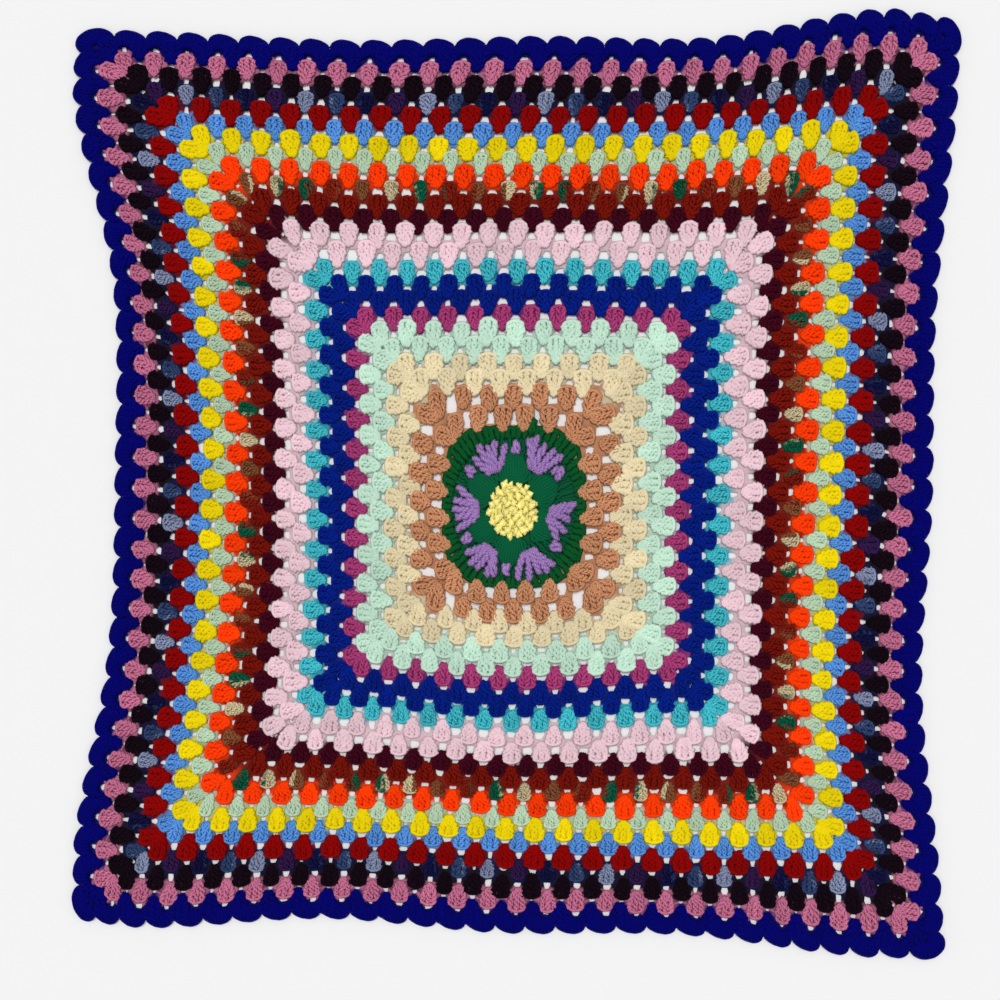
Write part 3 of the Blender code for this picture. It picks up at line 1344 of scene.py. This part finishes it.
    def _around(
        self, cloth: Cloth, pattern: Pattern, turn: float, far: float, heading: float
    ) -> None:
        """Adds a copy of a pattern whose foot stands round the flower's middle.

        Args:
            cloth: the piece it goes into.
            pattern: what is added.
            turn: the direction of its foot from the middle, in degrees.
            far: how far from the middle its foot is.
            heading: the direction it points in, in degrees.
        """
        angle = math.radians(turn)
        vary = self.chance.normal(0, self.unevenness, 4).clip(-self.most_uneven, self.most_uneven)
        cloth.add(pattern, Placing(
            self.middle[0] + far * math.cos(angle), self.middle[1] + far * math.sin(angle),
            math.radians(heading) - math.pi / 2 + vary[0],
            1 + vary[1], 1 + vary[2], 0.0, 1 + vary[3]))

    def _leaves(self) -> bpy.types.Object:
        """Builds the smooth leaves of long stitches, one between each two fans.

        Returns:
            The piece.
        """
        strands = Strands()
        for k in range(-self.leaf_strands, self.leaf_strands + 1):
            off = k / self.leaf_strands
            wide = self.leaf_half_width * off
            top = self.leaf_length * math.sqrt(1 - self.leaf_rounding * off * off)
            arch = self.leaf_height - self.leaf_fall * off * off
            heights = (self.leaf_ends_up[0], arch, arch, self.leaf_ends_up[1])
            path = curve_through(tuple(
                (across * wide, along * top, z)
                for (across, along), z in zip(self.leaf_shape, heights)), self.leaf_steps)
            strands.lay(path, self.leaf_yarn)
        leaf = strands.pattern()
        cloth = Cloth(self.lie)
        cloth.add(self._collar(), Placing(*self.middle, shade=self.collar_painted_shade))
        for turn in self.leaf_turns:
            self._around(cloth, leaf, turn, self.leaf_foot, turn)
        return cloth.piece("flower_leaves", LEAF_GREEN.material())

    def _collar(self) -> Pattern:
        """Makes the round of green stitches that the fans are worked over.

        Returns:
            The strands, round the flower's middle.
        """
        strands = Strands()
        for k in range(self.collar_posts):
            far = np.linspace(
                self.collar_foot, self.rim_inner + self.collar_under, self.collar_steps)
            path = self._radial(
                math.tau * k / self.collar_posts, far, np.full(len(far), self.collar_height))
            start = self.chance.uniform(0, math.tau)
            strands.post_pair(
                path, self.collar_yarn, self.collar_wind, self.collar_turns, start)
        return strands.pattern()

    def _fans(self) -> bpy.types.Object:
        """Builds the lavender fans, and the small stitches over the leaves' tips.

        Returns:
            The piece.
        """
        cloth = Cloth(self.lie)
        for turn, heading, foot in self.fans:
            strands = Strands()
            for k in range(self.petals):
                off = k - (self.petals - 1) / 2
                self._petal(
                    strands, self.petal_beside * off, self.petal_lean * off, self.petal_length)
            self._around(cloth, strands.pattern(), turn, foot, heading)
        for turn in self.stitch_turns:
            strands = Strands()
            for way in (-1, 1):
                self._petal(
                    strands, way * self.stitch_beside, -way * self.stitch_lean,
                    self.stitch_length, self.stitch_thick)
            self._around(cloth, strands.pattern(), turn, self.stitch_foot, turn)
        return cloth.piece("flower_fans", LAVENDER.material())

    def _petal(
        self, strands: Strands, foot: float, lean: float, length: float, thick: float = 1.0
    ) -> None:
        """Lays one thick stitch of a fan.

        Args:
            strands: where it goes.
            foot: how far beside the fan's middle it starts.
            lean: its angle from straight out, in degrees.
            length: its length, in pitches.
            thick: its thickness beside a fan's stitch.
        """
        angle = math.radians(lean + self.chance.normal(0, self.petal_lean_spread))
        length *= self.chance.uniform(*self.petal_length_variation)
        steps = np.linspace(0, 1, self.petal_steps)
        arch = np.sin(math.pi * (self.petal_arch[0] + self.petal_arch[1] * steps))
        bounce = self.chance.uniform(*self.petal_bounce)
        z = self.petal_height + self.petal_rise * arch + bounce
        bend = self.chance.normal(0, self.petal_bend) * np.sin(math.pi * steps)
        path = np.column_stack([
            foot + steps * length * math.sin(angle) + bend,
            steps * length * math.cos(angle),
            z])
        start = self.chance.uniform(0, math.tau)
        wind = (self.petal_wind[0] * thick, self.petal_wind[1])
        turns = length * self.chance.uniform(*self.petal_turns)
        strands.post_pair(path, self.petal_yarn * thick, wind, turns, start)

    def _bobbles(self) -> bpy.types.Object:
        """Builds the raised middle of small puffs.

        Returns:
            The piece.
        """
        puffs = [self._puff(loops) for loops in self.bobble_loops]
        cloth = Cloth(self.lie)
        cloth.add(self._bed(), Placing(*self.middle, shade=self.bed_painted_shade))
        for radius, count in self.bobble_rings:
            for k in range(count):
                turn = math.tau * (k + self.bobble_twist * radius) / count
                vary = self.chance.normal(0, self.bobble_unevenness, 4)
                vary = vary.clip(-self.bobble_most_uneven, self.bobble_most_uneven)
                lift = self.bobble_lift + self.bobble_dome * (1 - radius ** 2)
                cloth.add(puffs[(2 * k + count) % len(puffs)], Placing(
                    self.middle[0] + radius * math.cos(turn) + self.bobble_shift * vary[0],
                    self.middle[1] + radius * math.sin(turn) + self.bobble_shift * vary[1],
                    self.chance.uniform(0, math.tau),
                    1.0 + vary[2], 1.0 + self.bobble_stretch * vary[3],
                    lift + self.bobble_bounce * vary[0], 1 + self.bobble_shading * vary[1]))
        return cloth.piece("flower_bobbles", BUTTER.material())

    def _puff(self, loops: tuple) -> Pattern:
        """Makes one bobble of crossing loops of yarn.

        Args:
            loops: the turn, half width and shift sideways of each loop, in radians and pitches.

        Returns:
            The bobble, standing over its own middle.
        """
        strands = Strands()
        arch = np.linspace(*self.bobble_arch, self.bobble_steps) * math.pi
        for turn, wide, shift in loops:
            far = wide * np.cos(arch)
            z = self.bobble_height * np.sin(arch) + self.bobble_crossing * turn
            path = np.column_stack([
                far * math.cos(turn) - shift * math.sin(turn),
                far * math.sin(turn) + shift * math.cos(turn), z])
            strands.lay(path, self.bobble_yarn)
        return strands.pattern()

    def _bed(self) -> Pattern:
        """Makes the spiral of yarn that the bobbles stand on.

        Returns:
            The strands, round the flower's middle.
        """
        strands = Strands()
        count = self.bed_steps * self.bed_turns
        turns = np.linspace(self.bed_start, self.bed_turns, count) * math.tau
        far = self.bobble_rings[-1][0] * turns / turns[-1]
        path = self._round(turns, far, np.full(count, self.bed_height))
        strands.lay(path, self.bed_yarn)
        return strands.pattern()


# ------------------------------------------------------------------ ground
@dataclass
class Ground:
    """The sheet of cloth under the strands, with every gap between the clusters, coloured like the
    yarn above it and darkened as painted shade.
    """

    lie: Lie
    rings: Rings
    shells: Shells
    flower: Flower
    top: float = 0.0026
    thickness: float = 0.0016
    gap: tuple = (
        (-0.15, -0.13), (0.15, -0.13), (0.18, -0.01), (0.10, 0.13), (-0.10, 0.13), (-0.18, -0.01))
    gap_rounds: tuple = (-1, -1, 0, 1, 1, 0)
    gap_at: float = -0.06
    gap_variation: tuple = (0.62, 1.12)
    gap_sides: tuple = (1.15, 0.85, 1.10, 0.95)
    gap_jitter: float = 0.022
    corner_gap: float = 0.09
    pulled_round: int = 7
    pulled_size: tuple = (1.3, 1.6)
    pulled_in: float = -0.08
    inset: float = 0.07
    shell_steps: tuple = (-1.0, -0.7, -0.2, 0.4, 0.8)
    corner_steps: tuple = (-0.9, -0.6, -0.2, 0.2, 0.6, 0.9)
    cluster_out: float = 0.1
    flower_rings: tuple = ((0.33, 12, 0), (0.66, 24, 0), (0.90, 48, 0), (0.97, 48, 6))
    plain_at: float = 0.5
    variegated_at: float = 0.6
    merging: float = 1e-7
    # fibres' mottle, with the yarn's colour taken down to about 0.8 as painted shade
    fibre_mottle_and_shade: tuple = (0.56, 0.48)
    patch_light: tuple = (0.80, 0.40)
    patch_detail: float = 2.0
    roughness: float = 0.85
    roughness_range: float = 0.2
    gloss: float = 0.2
    relief: float = 0.6
    chance: np.random.Generator = field(default_factory=lambda: np.random.default_rng(SEED))
    points: list = field(default_factory=list)
    rounds: list = field(default_factory=list)
    loops: list = field(default_factory=list)

    def build(self) -> bpy.types.Object:
        """Builds the sheet, coloured like the yarn above it and darkened as painted shade.

        Returns:
            The piece, in the scene.
        """
        self._rim()
        for stripe in (*STRIPES, EDGE_STRIPE):
            for n in stripe.rounds:
                self._gaps(n, stripe)
                self._clusters(n)
        self._flower_points()
        bm = self._sheet()
        mesh = bpy.data.meshes.new("blanket_ground")
        bm.to_mesh(mesh)
        bm.free()
        mesh.shade_smooth()
        mesh.materials.append(self._material())
        made = put("blanket_ground", mesh)
        LOG.info("blanket_ground: %d faces, %d gaps", len(mesh.polygons), len(self.loops) - 1)
        return made

    def _point(self, flat: np.ndarray, n: int) -> int:
        """Adds a point to the drawing.

        Args:
            flat: its place.
            n: the round whose colour it has.

        Returns:
            Its number.
        """
        self.points.append(Vector(flat))
        self.rounds.append(n)
        return len(self.points) - 1

    def _rim(self) -> None:
        """Draws the scalloped rim clockwise, a little inside the shells."""
        loop = []
        for side in Side:
            for j in range(LAST_ROUND):
                along = j - (LAST_ROUND - 1) / 2
                for s in self.shell_steps:
                    loop.append(self._point(
                        self.shells.top(side, along, s, self.inset), EDGE_ROUND))
            for s in self.corner_steps:
                loop.append(self._point(self.shells.corner(side, s, self.inset), EDGE_ROUND))
        self.loops.append(loop)

    def _gaps(self, n: int, stripe: Stripe) -> None:
        """Draws the gaps between the clusters of round n, anticlockwise.

        Beside the corners of one round the cloth is pulled apart, and its gaps are larger.

        Args:
            n: the round.
            stripe: the stripe that the round is in.
        """
        for side, share in zip(Side, self.gap_sides):
            for j in range(n - 1):
                pulled = n == self.pulled_round and j in (0, n - 2)
                at = self.gap_at + (self.pulled_in if pulled else 0.0)
                middle = self.rings.place(n, side, j + 0.5 - (n - 1) / 2, at)
                size = stripe.gap * self.chance.uniform(*self.gap_variation, 2) * share
                if pulled:
                    size = size * self.pulled_size
                jitter = self.chance.uniform(-1, 1, (len(self.gap), 2)) * self.gap_jitter
                rim = size * self.gap + jitter
                self.loops.append([
                    self._point(middle + side.turned(off), n + step)
                    for off, step in zip(rim, self.gap_rounds)])
            if n > FIRST_ROUND:
                r = abs(self.rings.place(n - 1, Side.TOP, ring_at(n - 1)))
                s = self.corner_gap
                diamond = ((-s, 0), (0, -s), (s, 0), (0, s))
                self.loops.append([
                    self._point(side.turned(r.mean() + np.array(off)), n) for off in diamond])

    def _clusters(self, n: int) -> None:
        """Adds a point under each cluster of a round.

        Args:
            n: the round.
        """
        for side in Side:
            for j in range(n):
                self._point(self.rings.place(n, side, j - (n - 1) / 2, self.cluster_out), n)

    def _flower_points(self) -> None:
        """Adds the rings of points under the flower."""
        self._point(np.zeros(2), 0)
        for share, count, n in self.flower_rings:
            for k in range(count):
                turn = math.tau * k / count
                far = share * self.flower.rim_at(turn)
                self._point(far * np.array([math.cos(turn), math.sin(turn)]), n)

    def _sheet(self) -> bmesh.types.BMesh:
        """Fills the drawing with triangles, lays it out and gives it its thickness.

        Returns:
            The closed sheet.
        """
        rims = [pair for loop in self.loops for pair in zip(loop, loop[1:] + loop[:1])]
        verts, _, faces, numbers, _, _ = delaunay_2d_cdt(
            self.points, rims, [], 0, self.merging, True)
        if len(verts) != len(self.points):
            raise ValueError("two gaps of the ground cross")
        loop_of = {number: i for i, loop in enumerate(self.loops) for number in loop}
        laid = self.lie.place(np.array([tuple(p) for p in self.points]))
        bm = bmesh.new()
        tint = bm.verts.layers.float_vector.new("tint")
        made = []
        for (x, y), n in zip(laid, self.rounds):
            vert = bm.verts.new((x, y, self.top))
            vert[tint] = Vector(self._colour(n))
            made.append(vert)
        for face in faces:
            corners = [numbers[i][0] for i in face]
            if self._is_cloth(corners, loop_of):
                bm.faces.new([made[i] for i in corners])
        bmesh.ops.recalc_face_normals(bm, faces=bm.faces[:])
        if bm.faces[0].normal.z < 0:
            bmesh.ops.reverse_faces(bm, faces=bm.faces[:])
        under = bmesh.ops.extrude_face_region(bm, geom=bm.faces[:], use_keep_orig=True)["geom"]
        lower = [item for item in under if isinstance(item, bmesh.types.BMVert)]
        bmesh.ops.translate(bm, vec=(0, 0, -self.thickness), verts=lower)
        bmesh.ops.recalc_face_normals(bm, faces=bm.faces[:])
        return bm

    def _is_cloth(self, corners: list, loop_of: dict) -> bool:
        """Tells cloth from air where a triangle's corners are all on one loop.

        Args:
            corners: the triangle's points.
            loop_of: the loop that a point is on.

        Returns:
            Whether the triangle is cloth: loops are drawn with the cloth on their right.
        """
        loops = {loop_of.get(corner) for corner in corners}
        if len(loops) > 1 or None in loops:
            return True
        a, b, c = (self.points[corner] for corner in sorted(corners))
        return (b - a).cross(c - a) < 0

    def _colour(self, n: int) -> tuple:
        """Finds the colour of the yarn above a point.

        Args:
            n: the round that the point is in, and 0 under the flower.

        Returns:
            The linear colour.
        """
        if n == 0:
            return LEAF_GREEN.colour_at(0)
        n = max(n, FIRST_ROUND)
        for stripe in STRIPES:
            if n in stripe.rounds:
                plain = len(stripe.yarn.colours) == 1
                return stripe.yarn.colour_at(self.plain_at if plain else self.variegated_at)
        return NAVY.colour_at(0)

    def _material(self) -> bpy.types.Material:
        """Builds the ground's finish: the yarns' colours darkened as painted shade between the
        strands, with felted fibres.

        Returns:
            The finish, which reads the tint attribute.
        """
        net = Network("painted_shade_felted_ground")
        fibres = net.noise(FIBRE_WAVES, FIBRE_DETAIL)
        patches = net.noise(PATCH_WAVES, self.patch_detail)
        # painted shade: the yarn's colour darkened to about 0.8, mottled by fibres and patches
        light = self.fibre_mottle_and_shade[0] + self.fibre_mottle_and_shade[1] * fibres
        light = light * (self.patch_light[0] + self.patch_light[1] * patches)
        return net.finish(
            Base_Color=net.scaled(net.attribute("tint", "Vector"), light),
            Roughness=self.roughness + self.roughness_range * (fibres - 0.5),
            Specular_IOR_Level=self.gloss,
            Normal=net.bump(fibres, self.relief),
        )


# ------------------------------------------------------------------ studio
@dataclass
class Studio:
    """A pale floor, soft light, and a camera straight above the blanket."""

    view_side: float = 0.985
    view_middle: tuple = (-0.0164, -0.0145)
    camera_up: float = 1.45
    cloth_up: float = 0.004
    sensor: float = 36.0
    floor_side: float = 12.0
    floor_down: float = 0.0002
    floor_colour: tuple = (0.90, 0.90, 0.90)
    floor_light: tuple = (0.99, 0.02)
    floor_grain: float = 40.0
    floor_detail: float = 2.0
    floor_roughness: float = 0.9
    sky: float = 0.50
    light: float = 1.67
    light_from: tuple = (-0.10, 0.28, 1.0)
    light_width: float = math.radians(24)

    def build(self) -> None:
        """Builds the floor, the lights and the camera."""
        self._floor()
        self._lights()
        self._camera()

    def _floor(self) -> None:
        """Lays the floor."""
        bm = bmesh.new()
        bmesh.ops.create_grid(bm, x_segments=1, y_segments=1, size=self.floor_side / 2)
        bmesh.ops.translate(bm, vec=(0, 0, -self.floor_down), verts=bm.verts[:])
        mesh = bpy.data.meshes.new("floor")
        bm.to_mesh(mesh)
        bm.free()
        net = Network("pale_floor")
        grain = net.noise(self.floor_grain, self.floor_detail)
        light = self.floor_light[0] + self.floor_light[1] * grain
        mesh.materials.append(net.finish(
            Base_Color=net.scaled(self.floor_colour, light), Roughness=self.floor_roughness))
        floor = put("floor", mesh)

    def _lights(self) -> None:
        """Sets a bright even sky, and one wide soft light from nearly overhead."""
        world = bpy.data.worlds.new("studio")
        world.use_nodes = True
        sky = world.node_tree.nodes["Background"]
        sky.inputs["Color"].default_value = (1.0, 1.0, 1.0, 1.0)
        sky.inputs["Strength"].default_value = self.sky
        bpy.context.scene.world = world
        light = bpy.data.lights.new("soft_light", "SUN")
        light.energy = self.light
        light.angle = self.light_width
        holder = put("soft_light", light)
        holder.rotation_euler = Vector(self.light_from).to_track_quat("Z", "Y").to_euler()
        bpy.context.scene.view_settings.view_transform = "Standard"

    def _camera(self) -> None:
        """Hangs the camera over the blanket, looking straight down."""
        data = bpy.data.cameras.new("camera")
        data.sensor_width = self.sensor
        distance = self.camera_up - self.cloth_up
        data.lens = self.sensor * distance / self.view_side
        camera = put("camera", data)
        camera.location = (*self.view_middle, self.camera_up)
        bpy.context.scene.camera = camera


# ------------------------------------------------------------------ all of it
def main() -> None:
    logging.basicConfig(level=logging.INFO, format="%(message)s")
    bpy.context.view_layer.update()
    Studio().build()
    lie = Lie()
    rings = Rings()
    shells = Shells()
    rounds = Rounds(lie, rings)
    pieces = rounds.build()
    pieces += Edging(lie, rounds, shells).build()
    flower = Flower(lie, rounds.chance)
    pieces += flower.build()
    ground = Ground(lie, rings, shells, flower).build()
    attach(ground, "root")
    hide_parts("blanket")


if __name__ == "__main__":
    main()
